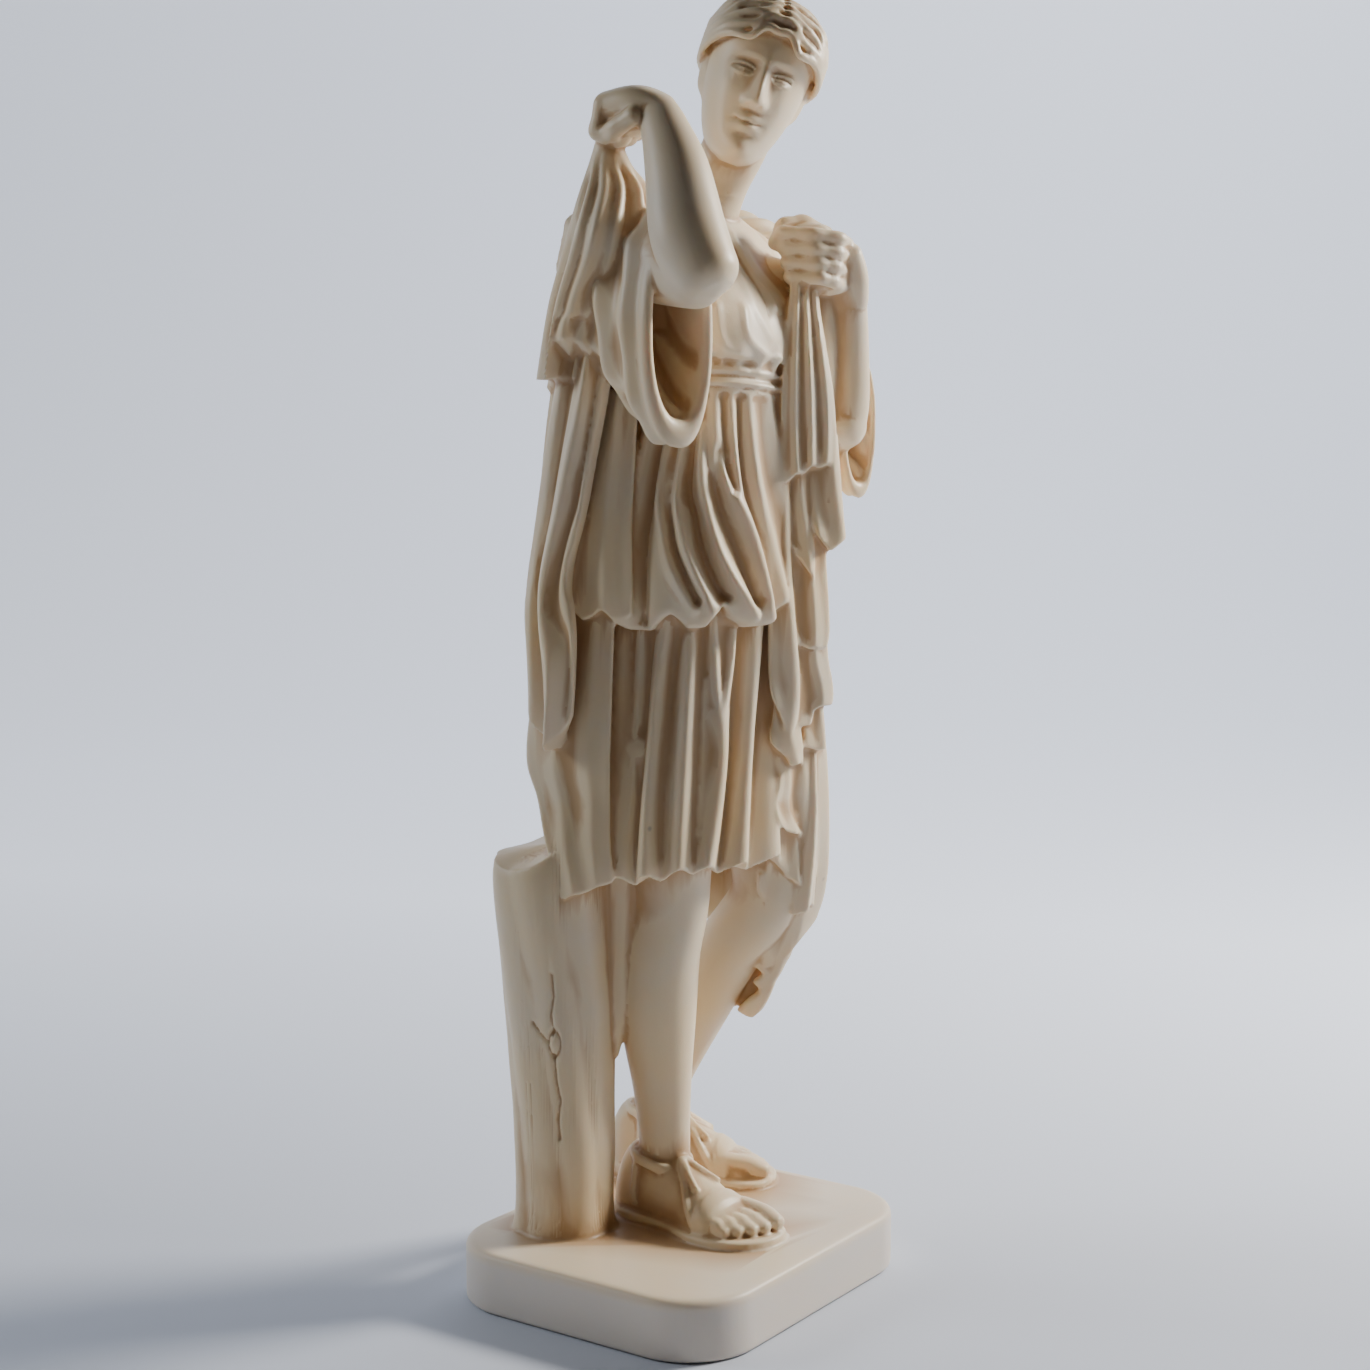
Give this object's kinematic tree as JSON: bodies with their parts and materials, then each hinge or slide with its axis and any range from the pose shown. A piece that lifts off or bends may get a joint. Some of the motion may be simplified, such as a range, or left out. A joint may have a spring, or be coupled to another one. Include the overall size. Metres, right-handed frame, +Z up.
{
  "type": "marble figure statue",
  "caption": "Standing marble huntress in a short belted tunic fastening a cloak at the shoulder, carved in one with a tree trunk and a round-cornered plinth.",
  "frame": {"origin": "middle of the plinth's underside", "axes": "+Z up, -Y the way the figure faces, +X to the figure's left"},
  "size_m": [0.244, 0.208, 0.8032],
  "materials": {
    "marble": "satin, warm ivory with faint mottling"
  },
  "bodies": {
    "root": {"statue": "marble"}
  },
  "joints": []
}
